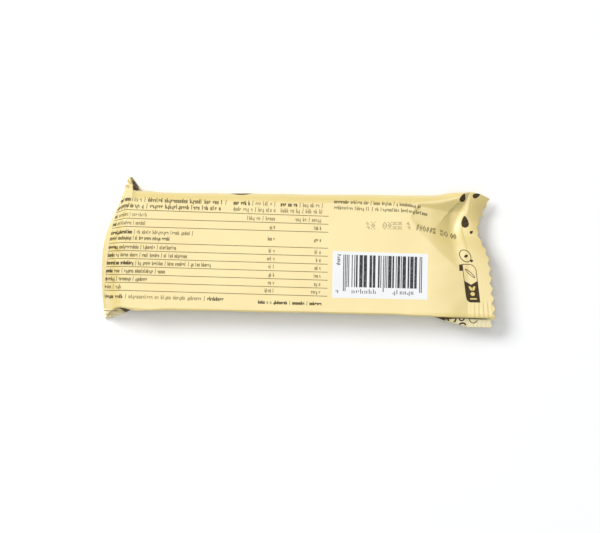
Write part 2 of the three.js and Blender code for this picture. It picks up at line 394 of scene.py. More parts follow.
def skin_relief(station, along, point):
    """Heights of one layer alone: soft waves over the bar, its walls, the root and the fold."""
    x, y = point[..., 0], point[..., 1]

    def waves(kind, share, across=y):
        height, scale, seed, stretch = WAVES[kind]
        return height * share * ripples(x * stretch[0], across * stretch[1], scale, seed)

    over_bar = plateau(station, **BAR_SKIN)
    walls = ease_between(np.abs(y), *WALL_SKIN_Y) * over_bar
    skin = waves("bar", over_bar) + waves("walls", walls, along)
    skin = skin + waves("root", bell(station, **ROOT_SKIN))
    skin = skin + waves("fold", bell(station, **FOLD_SKIN))
    rim = NEAR_RIM["height"] * bell(y, NEAR_RIM["y"], NEAR_RIM["width"])
    rim = rim * ease_between(x, *NEAR_RIM["x"])
    upper = 1 - ease_between(np.abs(along), *UPPER_SHEET)
    return skin + (rim - facet(station, point)) * upper


def film(station, along, lift=0.0):
    """The finished film, raised by `lift` along its normal.
    Sheet relief moves both layers of a seal the upper layer's way, and skin relief outwards."""
    smooth = smooth_film(station, along)
    rest = np.abs(along)
    mirrored = np.where(rest > LAYER / 2, LAYER - rest, rest)
    facing = np.sign(along) * np.minimum(mirrored, LAYER / 2 - NORMAL_INSET)
    sheet = film_normals(station, facing) * sheet_relief(station, smooth)[..., None]
    skin = skin_relief(station, along, smooth) + lift
    points = smooth + sheet + film_normals(station, along) * skin[..., None]
    points[..., 2] = np.maximum(points[..., 2], RESTING - lift)
    return points


def on_film(x, y, rounds=9, step=0.01):
    """Film coordinates of print places on the upper sheet, by Newton steps on (x, y)."""
    x = x + PRINT_SHIFT_X
    station, along = x - SHIFT_X, y - SHIFT_Y
    for _ in range(rounds):
        here = smooth_film(station, along)[..., :2]
        to_s = (smooth_film(station + step, along)[..., :2] - here) / step
        to_a = (smooth_film(station, along + step)[..., :2] - here) / step
        off_x, off_y = x - here[..., 0], y - here[..., 1]
        det = to_s[..., 0] * to_a[..., 1] - to_s[..., 1] * to_a[..., 0]
        det = np.where(np.abs(det) < 0.05, 0.05, det)
        station = station + np.clip((off_x * to_a[..., 1] - off_y * to_a[..., 0]) / det, -3, 3)
        along = along + np.clip((off_y * to_s[..., 0] - off_x * to_s[..., 1]) / det, -3, 3)
        station = np.clip(station, *PRINTED)
        along = np.clip(along, -LAYER / 2, LAYER / 2)
    return station, along


# ---- meshes


def make_mesh(name, points, quads, maps):
    """A mesh from whole arrays: points in millimetres, four corners a face, and UV maps.
    A face whose first two corners are one point becomes a triangle."""
    mesh = bpy.data.meshes.new(name)
    mesh.vertices.add(len(points))
    mesh.vertices.foreach_set("co", (np.asarray(points) * MM).astype(np.float32).ravel())
    corners = np.asarray(quads, np.int32)
    triangle = corners[:, 0] == corners[:, 1]
    sides = np.where(triangle, 3, 4)
    used = np.ones(corners.shape, bool)
    used[triangle, 0] = False
    starts = np.concatenate([[0], np.cumsum(sides)[:-1]]).astype(np.int32)
    mesh.loops.add(int(sides.sum()))
    mesh.loops.foreach_set("vertex_index", corners[used])
    mesh.polygons.add(len(corners))
    mesh.polygons.foreach_set("loop_start", starts)
    for map_name, per_corner in maps.items():
        layer = mesh.uv_layers.new(name=map_name)
        layer.data.foreach_set("uv", per_corner[used].astype(np.float32).ravel())
    mesh.update(calc_edges=True)
    return mesh


def put_in_scene(name, data):
    thing = bpy.data.objects.new(name, data)
    bpy.context.scene.collection.objects.link(thing)
    return thing


def make_piece(mesh, material, smooth=True):
    """An object at the origin that rides on the pack's one body."""
    mesh.polygons.foreach_set("use_smooth", np.full(len(mesh.polygons), smooth))
    mesh.materials.append(material)
    piece = put_in_scene(mesh.name, mesh)
    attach(piece, "root")
    return piece


# ---- the film piece

SIDE_HALF_TEETH = 4
FLAT_STEPS, SIDE_STEPS = 5, 10
PINK_REACH = 2.4
UNROLLED_MARGIN = 2.0
# Where the film is dark: short of its end, and on the ears to the right of slanted lines, each
# given by the x that it has at a place y.
EAR_Y = 22.6
DARK_EAR_Y = (EAR_Y, EAR_Y + 0.4)
DARK_END = (-63.5, -62.0)
# On the far ear the dark field is the front's dark print and painted shade of the facet that faces
# away from the light.
FAR_PRINT_AND_SHADE = dict(x=-65.6, y=28.5, slope=-0.15)
NEAR_DARK = dict(x=-70.6, y=-EAR_Y, slope=-1.5)
DARK_RIM = (-0.3, 0.3)
# Streaks on the far ear are painted crimp light: paler stripes in the dark as painted highlights,
# darker stripes on the cream as painted shade.
EAR_CRIMP_PAINT = dict(x=-66.0, slant=0.7, pitch=2.1, rise=(0.45, 0.9), y=(EAR_Y + 0.8, EAR_Y + 1.2))
CRIMP_PAINT_TONE = dict(loss=0.45, gain=0.6)
# The near ear's groove carries a line of painted shadow between the bar's edge and the ear.
EAR_GROOVE_SHADOW = dict(y=-24.3, width=0.3, tone=0.6, x=(-70.5, -69.0))
# Where the film is lightened as painted light, standing in for light the lamps don't bring there:
# on the near ear, and on the near lip by a smaller share.
EAR_PAINTED_LIGHT = dict(y=(23.4, 24.2), x=(-70.0, -66.0))
LIP_PAINTED_LIGHT = dict(y=(24.9, 25.3), x=(56.0, 64.0), share=0.75)


def girth_samples():
    """Film lengths round the pack from the top's middle, closest at the sides and ears."""
    half_tooth = LAYER / 2 / TEETH
    flat_end = (TEETH - SIDE_HALF_TEETH) * half_tooth
    inner = np.linspace(0, flat_end, (TEETH - SIDE_HALF_TEETH) * FLAT_STEPS, endpoint=False)
    outer = np.linspace(flat_end, LAYER / 2, SIDE_HALF_TEETH * SIDE_STEPS + 1)
    upper = np.concatenate([inner, outer])
    one_side = np.concatenate([upper, LAYER - upper[-2::-1]])
    return np.concatenate([one_side, -one_side[-2:0:-1]])


def film_stations():
    """Rows along the film, closest where it is crimped or turns."""

    def spread(start, end, steps, curve=lambda t: t):
        return mix(start, end, curve(np.arange(1, steps + 1) / steps))

    def opening(t):
        return 1 - np.cos(t * math.pi / 2)

    stretches = [
        [TUCKED_EDGE],
        spread(TUCKED_EDGE, FOLD_X - FOLD_LENGTH, 40),
        spread(FOLD_X - FOLD_LENGTH, FOLD_X, 12),
        spread(FOLD_X, FOLD_X + END_LENGTH, 26, opening),
        spread(FOLD_X + END_LENGTH, FOLD_X + TUCK_END[1], 26),
        spread(FOLD_X + TUCK_END[1], FACET["x"][0] - 2, 37),
        spread(FACET["x"][0] - 2, CLOSE_FROM_X, 17),
        spread(CLOSE_FROM_X, ROOT_X, 46),
        spread(ROOT_X, FREE_EDGE, 54),
    ]
    return np.concatenate(stretches)


def pinking(station, along):
    """Offset of a row near a cut edge: a triangle wave across the flat width, tips outwards."""
    across = np.sign(along) * np.minimum(np.abs(along), LAYER - np.abs(along))
    free = np.clip(1 - (FREE_EDGE - station) / PINK_REACH, 0, 1)
    hidden = np.clip(1 - (station - TUCKED_EDGE) / PINK_REACH, 0, 1)
    fade = 1 - ease_between(across, *TOOTH_SHIFT["fade"])
    turns = across * TEETH / LAYER - TOOTH_SHIFT["share"] * fade * np.sign(free)
    wave = 2 * np.abs(2 * (turns % 1) - 1) - 1
    return wave * TOOTH_DEPTH / 2 * (free - hidden)


def end_strip(around, row, last):
    """Faces between the two layers at a cut edge: each upper point and the lower one under it.
    The first and the last of them are triangles at the pack's side edges."""
    quarter = around // 4
    k = np.arange(-quarter, quarter)
    upper, upper_next = k % around, (k + 1) % around
    lower, lower_next = (2 * quarter - k) % around, (2 * quarter - k - 1) % around
    first = (upper[0], upper_next[0], lower_next[0])
    final = (lower[-1], upper[-1], lower_next[-1])
    faces = np.stack([lower, upper, upper_next, lower_next], -1)
    faces[0] = (first[0], first[0], first[1], first[2])
    faces[-1] = (final[2], final[2], final[0], final[1])
    if last:
        faces = np.stack([lower_next, upper_next, upper, lower], -1)
        faces[0] = (first[0], first[0], first[2], first[1])
        faces[-1] = (final[2], final[2], final[1], final[0])
    return faces + row * around


def past_line(x, y, line):
    """1 to the right of a slanted line, 0 to its left."""
    return ease_between(x - (line["x"] + line["slope"] * (y - line["y"])), *DARK_RIM)


def dark_print_and_shade(station, along, x, y):
    """1 where the film is dark: the front's dark print under the left end and on the near ear
    where it is tucked under; on the far ear, the front's dark print and painted shade of its facet
    that faces away from the light, crossed by streaks of painted crimp highlight and shade; and a
    line of painted shadow in the near ear's groove."""
    left = 1 - ease_between(x, *DARK_END)
    under = ease_between(np.abs(along), LAYER / 2 - 0.2, LAYER / 2 + 0.2)
    middle = (np.abs(y) < EAR_Y) & (station > FOLD_X - FOLD_LENGTH)
    field = under * (1 - ease_between(station, *DARK_END)) * middle
    # The far ear: the front's dark print together with painted shade of its facet that faces away
    # from the light.
    far = ease_between(y, *DARK_EAR_Y) * past_line(x, y, FAR_PRINT_AND_SHADE)
    # Painted crimp highlights and shade across the far ear.
    phase = (y + EAR_CRIMP_PAINT["slant"] * (x - EAR_CRIMP_PAINT["x"])) / EAR_CRIMP_PAINT["pitch"]
    crimp_paint = ease_between(np.sin(math.tau * phase), *EAR_CRIMP_PAINT["rise"])
    crimp_paint = crimp_paint * ease_between(y, *EAR_CRIMP_PAINT["y"])
    kept, gained = 1 - CRIMP_PAINT_TONE["loss"] * crimp_paint, CRIMP_PAINT_TONE["gain"] * crimp_paint * (1 - far)
    ear = mix(far * kept, 1.0, gained) * left * (y > 0)
    turned_under = (station < FOLD_X - 0.6 * FOLD_LENGTH) & (y < 0)
    near = turned_under * past_line(x, y, NEAR_DARK)
    # A line of painted shadow in the near ear's groove.
    groove_shadow = EAR_GROOVE_SHADOW["tone"] * bell(y, EAR_GROOVE_SHADOW["y"], EAR_GROOVE_SHADOW["width"])
    groove_shadow = groove_shadow * (1 - ease_between(x, *EAR_GROOVE_SHADOW["x"])) * (station < FOLD_X + 3)
    return np.clip(field + ear + near + groove_shadow, 0, 1)


def painted_light_field(station, x, y):
    """1 on the near ear, and most of 1 on the near lip, where painted light makes the film paler.
    """
    ear = ease_between(-y, *EAR_PAINTED_LIGHT["y"]) * (1 - ease_between(x, *EAR_PAINTED_LIGHT["x"]))
    lip = ease_between(-y, *LIP_PAINTED_LIGHT["y"]) * ease_between(x, *LIP_PAINTED_LIGHT["x"])
    return ear * (station < FOLD_X) + LIP_PAINTED_LIGHT["share"] * lip


def film_mesh():
    """The film as a tube: rows of stations by points round the girth, shut by two end strips."""
    rows, around = film_stations(), girth_samples()
    count, size = len(rows), len(around)
    station, along = np.meshgrid(rows, around, indexing="ij")
    station = station + pinking(station, along)
    points = film(station, along).reshape(-1, 3)

    row, column = np.meshgrid(np.arange(count - 1), np.arange(size), indexing="ij")
    after = (column + 1) % size
    here, there = row * size, (row + 1) * size
    tube = np.stack([here + column, there + column, there + after, here + after], -1)
    tube = tube.reshape(-1, 4)
    quads = np.concatenate([tube, end_strip(size, 0, False), end_strip(size, count - 1, True)])

    s, a = station.ravel()[quads], along.ravel()[quads]
    strip = (np.arange(len(quads)) >= len(tube))[:, None]
    # Across the tube's seam the girth goes on past its last length.
    wraps = ((a.max(1) - a.min(1)) > LAYER)[:, None] & ~strip
    a = np.where(wraps & (a < 0), a + GIRTH, a)
    # An end strip lies just past its edge on the flat film.
    under = strip & (np.abs(a) > LAYER / 2)
    a = np.where(under, np.sign(a) * (LAYER - np.abs(a)), a)
    s = np.where(under, s + np.sign(s) * SEAL_THICKNESS, s)
    x, y = points[..., 0][quads], points[..., 1][quads]
    tone = np.stack([dark_print_and_shade(s, a, x, y), painted_light_field(s, x, y)], -1)
    length = FREE_EDGE - TUCKED_EDGE + 2 * UNROLLED_MARGIN
    baked = [(s - TUCKED_EDGE + UNROLLED_MARGIN) / length, (a + LAYER) / (GIRTH * 1.02)]
    baked = np.stack(baked, -1)
    return make_mesh("film", points, quads, {"film_tone": tone, "OFBake": baked})


# ---- print: thin closed slabs

INK_TOP = 0.035
INK_DEPTH = 0.05


class Print:
    """Slabs of ink that follow the film, gathered from grids of film coordinates."""

    def __init__(self, name, material, slot, top=INK_TOP):
        self.name, self.material, self.slot, self.top = name, material, slot, top
        self.points, self.quads, self.count = [], [], 0

    def add(self, place):
        """Grids (number, n, m) of station and along become slabs: lid, base and rim faces."""
        station, along = np.broadcast_arrays(*(np.asarray(p, float) for p in place))
        if station.ndim == 2:
            station, along = station[None], along[None]
        number, n, m = station.shape
        top = film(station, along, self.top)
        bottom = film(station, along, -INK_DEPTH)
        i, j = (n - 1) // 2, (m - 1) // 2
        facing = np.cross(top[:, i + 1, j] - top[:, i, j], top[:, i, j + 1] - top[:, i, j])
        inward = ((facing * (top[:, i, j] - bottom[:, i, j])).sum(-1) < 0)[:, None, None, None]
        top = np.where(inward, top[:, :, ::-1], top)
        bottom = np.where(inward, bottom[:, :, ::-1], bottom)
        t = np.arange(n * m).reshape(n, m)
        b = t + n * m
        lid = [t[:-1, :-1], t[1:, :-1], t[1:, 1:], t[:-1, 1:]]
        base = [b[:-1, :-1], b[:-1, 1:], b[1:, 1:], b[1:, :-1]]
        rim = np.concatenate([t[:-1, 0], t[-1, :-1], t[:0:-1, -1], t[0, :0:-1]])
        rim_next = np.roll(rim, -1)
        wall = [rim + n * m, rim_next + n * m, rim_next, rim]
        faces = np.concatenate([np.stack([c.ravel() for c in q], -1) for q in (lid, base, wall)])
        offsets = self.count + np.arange(number) * 2 * n * m
        self.quads.append((faces[None] + offsets[:, None, None]).reshape(-1, 4))
        self.points.append(np.stack([top, bottom], 1).reshape(-1, 3))
        self.count += number * 2 * n * m

    def build(self):
        points, quads = np.concatenate(self.points), np.concatenate(self.quads)
        low, high = points[:, :2].min(0), points[:, :2].max(0)
        plan = ((points[:, :2] - low) / (high - low))[quads]
        mesh = make_mesh(self.name, points, quads, {"OFBake": plan})
        return make_piece(mesh, self.material, smooth=False)


def lattice(n, m):
    """Two grids, n by m, that run from -1 to 1."""
    return np.meshgrid(np.linspace(-1, 1, n), np.linspace(-1, 1, m), indexing="ij")


def disc(n):
    """A square grid pressed into a unit disc: each coordinate times the root of 1 less half the
    other one's square."""
    u, v = lattice(n, n)
    return u * np.sqrt(1 - v * v / 2), v * np.sqrt(1 - u * u / 2)


def patch(grid, middle, length, width, degrees, taper=0.0):
    """A filled plan shape: a grid from -1 to 1 scaled, drawn in towards its tip, and turned."""
    u, v = grid
    return turned(u * length, v * width * (1 - taper * u), middle, degrees)


def oval(turns, middle, length, width, degrees, line):
    """A stroke of width `line` round an ellipse, or round the part of it that `turns` span."""
    path = turned(length * np.cos(turns), width * np.sin(turns), middle, degrees)
    return ribbon(*path, line)


def turned(x, y, centre, degrees):
    """Plan shapes turned about their own middle and moved to `centre`."""
    c, s = math.cos(math.radians(degrees)), math.sin(math.radians(degrees))
    return centre[0] + x * c - y * s, centre[1] + x * s + y * c


def ribbon(x, y, width):
    """A stroke of one width along a plan path: the path moved to each side by half the width."""
    dx, dy = np.gradient(x), np.gradient(y)
    if math.hypot(x[0] - x[-1], y[0] - y[-1]) < 1e-6:
        dx[0] = dx[-1] = dx[0] + dx[-1]
        dy[0] = dy[-1] = dy[0] + dy[-1]
    size = np.hypot(dx, dy)
    side = np.array([-0.5, 0.5]) * width
    return x[:, None] - (dy / size)[:, None] * side, y[:, None] + (dx / size)[:, None] * side


# ---- places of the printed table

RULE_RIGHT = 11.35
RULE_TOP = 13.84
RULE_PITCH = 3.115
RULED_ROWS = (0, 1, 2, 4, 5, 6, 7, 8, 9, 10)
RULE_WIDTH = 0.24
PRINT_SLOPE = dict(low=0.0124, high=0.0169, y=(9.0, 15.0))
DROOP = dict(start=-67.5, soft=0.8, least=0.035, middle=0.06, middle_y=(-12.0, 4.0), far=0.69)
DROOP_FAR = dict(y=19.3, power=2.2)
UNROLL_FROM = -58.0
# Where the lines of the table start, at each y.
TABLE_EDGE = dict(
    y=(-17.0, -7.4, 2.0, 8.0, 13.2, 17.3), x=(-75.7, -75.1, -74.1, -73.0, -72.1, -70.6)
)


def unroll():
    """Film length along the top's middle, from the fold on, against station. It equals the plan's
    x from UNROLL_FROM on, and runs on evenly over the bend."""
    station = np.linspace(FOLD_X - 0.6, UNROLL_FROM + 2, 400)
    line = smooth_film(station, np.zeros_like(station))
    step = np.linalg.norm(np.diff(line, axis=0), axis=1)
    length = np.concatenate([[0], np.cumsum(step)])
    at = np.interp(UNROLL_FROM + PRINT_SHIFT_X, line[:, 0], length)
    return station, length - at + UNROLL_FROM


UNROLLED_STATION, UNROLLED_LENGTH = unroll()


def row_level(row):
    return RULE_TOP - RULE_PITCH * row


def table_y(x, level):
    """Height across the pack of a table line that is at `level` at its right end."""
    slope = mix(PRINT_SLOPE["low"], PRINT_SLOPE["high"], ease_between(level, *PRINT_SLOPE["y"]))
    return level + slope * (RULE_RIGHT - x)


def droop(x, y):
    """How far the print sags over the left bend: a rate that grows across the pack, times
    past squared over past plus a soft start, where past is the distance beyond the start."""
    middle = DROOP["middle"] * ease_between(y, *DROOP["middle_y"])
    far = DROOP["far"] * np.clip(y / DROOP_FAR["y"], 0, 1.1) ** DROOP_FAR["power"]
    past = np.maximum(0, DROOP["start"] - x)
    return (DROOP["least"] + middle + far) * past * past / (past + DROOP["soft"])


def on_table(x, y):
    """Film coordinates of the table's print, where x is length along the film. It goes on over
    the bend at the left, where lines droop."""
    bent = np.interp(x, UNROLLED_LENGTH, UNROLLED_STATION)
    station = np.where(x > UNROLL_FROM, x + PRINT_SHIFT_X - SHIFT_X, bent)
    bow = (fold_line(y - SHIFT_Y) - FOLD_X) * (1 - ease((station - FOLD_X) / FOLD_BOW_LENGTH))
    goal = y - droop(station + SHIFT_X - PRINT_SHIFT_X + bow, y)
    along = goal - SHIFT_Y
    for _ in range(8):
        here = smooth_film(station, along)[..., 1]
        slope = (smooth_film(station, along + 0.01)[..., 1] - here) / 0.01
        along = along + np.clip((goal - here) / np.maximum(slope, 0.1), -2, 2)
        along = np.clip(along, -LAYER / 2, LAYER / 2)
    return station, along


def table_start(level):
    """Length along the film where a table line starts, after its droop."""
    y = table_y(TABLE_EDGE["x"][2], level)
    for _ in range(4):
        x = np.interp(y, TABLE_EDGE["y"], TABLE_EDGE["x"])
        flat = table_y(x, level)
        y = flat - droop(x, flat)
    station, _ = on_film(np.array([x]), np.array([y]))
    return float(np.interp(station[0], UNROLLED_STATION, UNROLLED_LENGTH))


# ---- generic small print

CAP_HEIGHT = 1.62
WORD_GAP = 0.9
# Marks of one cell as (position, low, high), in cells and cap heights: ticks of several reaches.
TICKS = (
    ((0.22, 0.0, 0.7), (0.68, 0.0, 0.7)),
    ((0.22, 0.0, 1.0), (0.66, 0.0, 0.62)),
    ((0.25, 0.08, 0.7), (0.7, 0.36, 0.7)),
    ((0.25, 0.0, 0.34), (0.68, -0.26, 0.7)),
    ((0.3, 0.0, 1.0),),
    ((0.24, 0.34, 0.7), (0.66, 0.0, 0.66)),
    ((0.24, 0.04, 0.66), (0.66, 0.0, 1.0)),
)
TICK_SHARES = (0.3, 0.14, 0.16, 0.1, 0.08, 0.14, 0.08)


class SmallPrint:
    """Lines of ticks in the rhythm of words, which spell nothing."""

    def __init__(self, fine, bold, seed):
        self.fine, self.bold = fine, bold
        self.rng = np.random.default_rng(seed)

    def line(self, x0, x1, base, words, place, cap=CAP_HEIGHT, fine=0.2, bold=0.3):
        """`words` are lengths in cells, `*` before a bold one, `/` a slanted divider.
        `base` gives the baseline at x. The cells are as wide as the line's length asks."""
        items = words.split()
        lengths = [1 if item == "/" else int(item.strip("*")) for item in items]
        cell = (x1 - x0) / (sum(lengths) + WORD_GAP * (len(items) - 1))
        strokes = {False: [], True: []}
        x = x0
        for item, length in zip(items, lengths):
            heavy = item.startswith("*")
            if item == "/":
                strokes[False].append((x + 0.35 * cell, x + 0.65 * cell, -0.1, 1.05, fine))
            else:
                strokes[heavy] += self.word(x, cell, length, bold if heavy else fine)
            x += (length + WORD_GAP) * cell
        for heavy, group in strokes.items():
            if group:
                self.ink(self.bold if heavy else self.fine, np.array(group), base, place, cap)

    def word(self, x, cell, length, width):
        marks = []
        for kind in self.rng.choice(len(TICKS), length, p=TICK_SHARES):
            for position, low, high in TICKS[kind]:
                at = x + position * cell
                marks.append((at, at, low, high, min(width, 0.46 * cell)))
            x += cell
        return marks

    @staticmethod
    def ink(target, group, base, place, cap):
        """Each stroke, from its foot to its head, is a slab two points wide and three high."""
        foot, head, low, high, width = (column[:, None, None] for column in group.T)
        side = np.array([-0.5, 0.5])[None, :, None] * width
        rise = np.array([0.0, 0.5, 1.0])[None, None, :]
        x = mix(foot, head, rise) + side
        y = base(x) + mix(low, high, rise) * cap
        target.add(place(x, y))


# ---- materials


class Value:
    """A node's output. Arithmetic on it adds Math nodes."""

    def __init__(self, graph, socket):
        self.graph, self.socket = graph, socket

    def math(self, operation, *others):
        inputs = dict(enumerate((self, *others)))
        return self.graph.node("ShaderNodeMath", dict(operation=operation), inputs)

    def __add__(self, other):
        return self.math("ADD", other)

    def __mul__(self, other):
        return self.math("MULTIPLY", other)

    def __rsub__(self, other):
        return self.graph.node("ShaderNodeMath", dict(operation="SUBTRACT"), {0: other, 1: self})

    __radd__, __rmul__ = __add__, __mul__


class Finish:
    """A material on one Principled shader, with a single method for every other node."""

    def __init__(self, name, **constants):
        self.material = bpy.data.materials.new(name)
        self.material.use_nodes = True
        self.tree = self.material.node_tree
        self.shader = next(n for n in self.tree.nodes if n.type == "BSDF_PRINCIPLED")
        for socket, value in constants.items():
            self.shader.inputs[socket.replace("_", " ")].default_value = value

    def node(self, kind, settings=None, inputs=None, output=0):
        node = self.tree.nodes.new(kind)
        for name, value in (settings or {}).items():
            setattr(node, name, value)
        for socket, value in (inputs or {}).items():
            self.feed(node.inputs[socket], value)
        return Value(self, node.outputs[output])

    def feed(self, socket, value):
        if isinstance(value, Value):
            self.tree.links.new(value.socket, socket)
        else:
            socket.default_value = value

    def set(self, **inputs):
        for socket, value in inputs.items():
            self.feed(self.shader.inputs[socket.replace("_", " ")], value)
        return self.material

    def place(self):
        return self.node("ShaderNodeTexCoord", output="Object")

    def noise(self, vector, scale, detail=2.0, stretch=(1, 1, 1)):
        stretched = self.node("ShaderNodeMapping", inputs={"Vector": vector, "Scale": stretch})
        inputs = {"Vector": stretched, "Scale": scale, "Detail": detail}
        return self.node("ShaderNodeTexNoise", inputs=inputs)

    def step(self, value, start, end):
        """0 below `start`, 1 above `end`, smooth between."""
        settings = dict(interpolation_type="SMOOTHSTEP")
        return self.node("ShaderNodeMapRange", settings, {"Value": value, 1: start, 2: end})

    def tint(self, share, first, second):
        inputs = {0: share, 6: first, 7: second}
        return self.node("ShaderNodeMix", dict(data_type="RGBA"), inputs, output=2)

    def bump(self, height, strength, distance, normal=None):
        inputs = {"Height": height, "Strength": strength, "Distance": distance}
        if normal is not None:
            inputs["Normal"] = normal
        return self.node("ShaderNodeBump", inputs=inputs)


FILM_LIGHT = (0.76, 0.615, 0.225, 1)
FILM_DEEP = (0.71, 0.54, 0.175, 1)
# The film lightened as painted light, on the near ear and lip.
FILM_PAINTED_LIGHT = (0.95, 0.86, 0.55, 1)
BROWN = (0.048, 0.031, 0.014, 1)
OLIVE = (0.16, 0.118, 0.045, 1)


def printed_film():
    """Pale yellow ink on a satin film. It is dark where the first field of film_tone says (print,
    with painted shade and crimp highlights on the far ear and painted shadow in the near ear's
    groove), and lightened as painted light where the second says.
    """
    f = Finish("printed_film", Coat_Roughness=0.3, Specular_IOR_Level=0.95, IOR=1.65)
    place = f.place()
    cloud = f.step(f.noise(place, 42.0, 3.0), 0.3, 0.72)
    grain = f.noise(place, 2600.0, 1.0)
    cream = f.tint(cloud * 0.45 + grain * 0.12, FILM_LIGHT, FILM_DEEP)
    tone = f.node("ShaderNodeUVMap", dict(uv_map="film_tone"))
    # The second field of film_tone lightens the film: painted light on the near ear and the near
    # lip.
    cream = f.tint(f.node("ShaderNodeSeparateXYZ", inputs={0: tone}, output=1), cream, FILM_PAINTED_LIGHT)
    share = f.node("ShaderNodeSeparateXYZ", inputs={0: tone})
    field = f.step(share + f.noise(place, 800.0) * 0.3, 0.5, 0.8)
    dark = f.tint(f.step(f.noise(place, 900.0), 0.35, 0.65), BROWN, OLIVE)
    colour = f.tint(field, cream, dark)
    roughness = f.noise(place, 120.0, 2.0) * 0.1 + 0.35 + field * 0.3
    fine = f.noise(place, 700.0, 3.0, (0.5, 1, 1))
    drawn = f.noise(place, 240.0, 2.0, (0.25, 1, 1))
    normal = f.bump(drawn, 0.35, 0.0002, f.bump(fine, 0.25, 0.00006))
    f.set(Base_Color=colour, Roughness=roughness)
    return f.set(Coat_Weight=(1 - field) * 0.3, Normal=normal)


def ink(name, colour, faded, wear):
    """Printed ink: full tone mixed with a faded one where it took less well."""
    f = Finish(name, Specular_IOR_Level=0.15)
    place = f.place()
    thin = f.step(f.noise(place, 1500.0, 2.0), 0.4, 0.75)
    mixed = f.tint(thin * wear, colour, faded)
    return f.set(Base_Color=mixed, Roughness=f.noise(place, 500.0) * 0.15 + 0.45)


def white_ink():
    f = Finish("white_ink", Specular_IOR_Level=0.4)
    place = f.place()
    cloud = f.noise(place, 220.0, 3.0)
    colour = f.tint(cloud, (0.82, 0.84, 0.845, 1), (0.77, 0.79, 0.8, 1))
    normal = f.bump(f.noise(place, 700.0, 2.0), 0.2, 0.00005)
    return f.set(Base_Color=colour, Roughness=cloud * 0.1 + 0.4, Normal=normal)


def studio_floor():
    f = Finish("studio_floor", Specular_IOR_Level=0.1)
    cloud = f.noise(f.place(), 6.0)
    colour = f.tint(cloud, (0.91, 0.915, 0.92, 1), (0.9, 0.905, 0.91, 1))
    return f.set(Base_Color=colour, Roughness=cloud * 0.1 + 0.75)


FILM = printed_film()
BROWN_INK = ink("brown_ink", BROWN, (0.12, 0.085, 0.04, 1), 0.5)
FINE_INK = ink("fine_ink", (0.14, 0.11, 0.048, 1), (0.23, 0.185, 0.085, 1), 0.6)
BOLD_INK = ink("bold_ink", (0.09, 0.072, 0.032, 1), (0.16, 0.13, 0.06, 1), 0.5)
BLACK_INK = ink("black_ink", (0.035, 0.034, 0.038, 1), (0.16, 0.16, 0.17, 1), 0.7)
CREAM_INK = ink("cream_ink", FILM_LIGHT, FILM_DEEP, 0.6)
WHITE_INK = white_ink()

# ---- the table and its print


def build_film():
    piece = make_piece(film_mesh(), FILM)
    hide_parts("wrapper")


def build_rules():
    rules = Print("table_rules", FINE_INK, "ink")
    for row in RULED_ROWS:
        level = row_level(row)
        x = np.linspace(table_start(level), RULE_RIGHT, 150)
        rules.add(on_table(*ribbon(x, table_y(x, level), RULE_WIDTH)))
    rules.build()


def centred(level, cap=CAP_HEIGHT):
    """Baseline of a line of print whose capitals are centred on `level`."""
    return lambda x: table_y(x, level) - cap / 2


HEADER_CAP = 1.75
HEADER_LEVELS = (17.95, 15.55)
HEADER_LINES = (
    (-28.3, "*6 *9 3 3 1 / *7 *11 *6 *3 *3 *1 /"),
    (-30.6, "*5 *9 *4 *3 *1 / *6 *11 *4 *3 *3 *1"),
)
HEADINGS = (
    (-25.8, -9.3, "*3 *3 *1 / 3 3 1 /", "4 3 1 / 3 3 1"),
    (-7.4, 9.2, "*3 *2 *2 / 3 2 2 /", "4 2 2 / 3 2 2"),
)
# Row labels: centre in rule pitches below the first rule, right end, words.
ROW_LABELS = (
    (0.5, -59.3, "*6 7 / 7"),
    (1.5, -59.7, "*5 11 / 6"),
    (2.62, -41.2, "*16 / 2 5 9 5 5 /"),
    (3.38, -50.2, "8 11 / 2 3 5 6 6"),
    (4.5, -47.8, "*9 13 / 8 / 11"),
    (5.5, -43.5, "*7 2 5 5 / 4 6 / 2 3 8"),
    (6.5, -34.2, "*11 *8 / 2 5 7 / 4 7 / 2 3 6"),
    (7.5, -52.0, "*8 4 / 6 12 / 5"),
    (8.5, -58.9, "*4 6 / 8 / 8"),
    (9.5, -69.0, "*3 4 / 3"),
)
# Values: centre in rule pitches, widths in the two columns, words of both.
ROW_VALUES = (
    (0.5, 11.0, 10.2, "4 2 / 5", "3 2 / 5"),
    (1.5, 2.2, 2.9, "2 1", "3 1"),
    (3.0, 2.8, 2.8, "3 1", "3 1"),
    (4.5, 2.4, 2.5, "2 1", "2 1"),
    (5.5, 2.9, 1.9, "3 1", "1 1"),
    (6.5, 2.5, 2.4, "2 1", "2 1"),
    (7.5, 2.4, 2.7, "2 1", "3 1"),
    (8.5, 2.5, 2.5, "2 1", "2 1"),
    (9.5, 3.7, 3.7, "4 1", "4 1"),
)
VALUE_RIGHT = (-9.4, 8.6)
FOOTER = (10.72, -29.0, "*4 *7 *4 / 12 2 5 6 7 / *8")
FOOTNOTE = (10.95, -15.6, 9.2, "*4 1 1 *8 / *7 / *7")
FOOTNOTE_CAP = 1.4


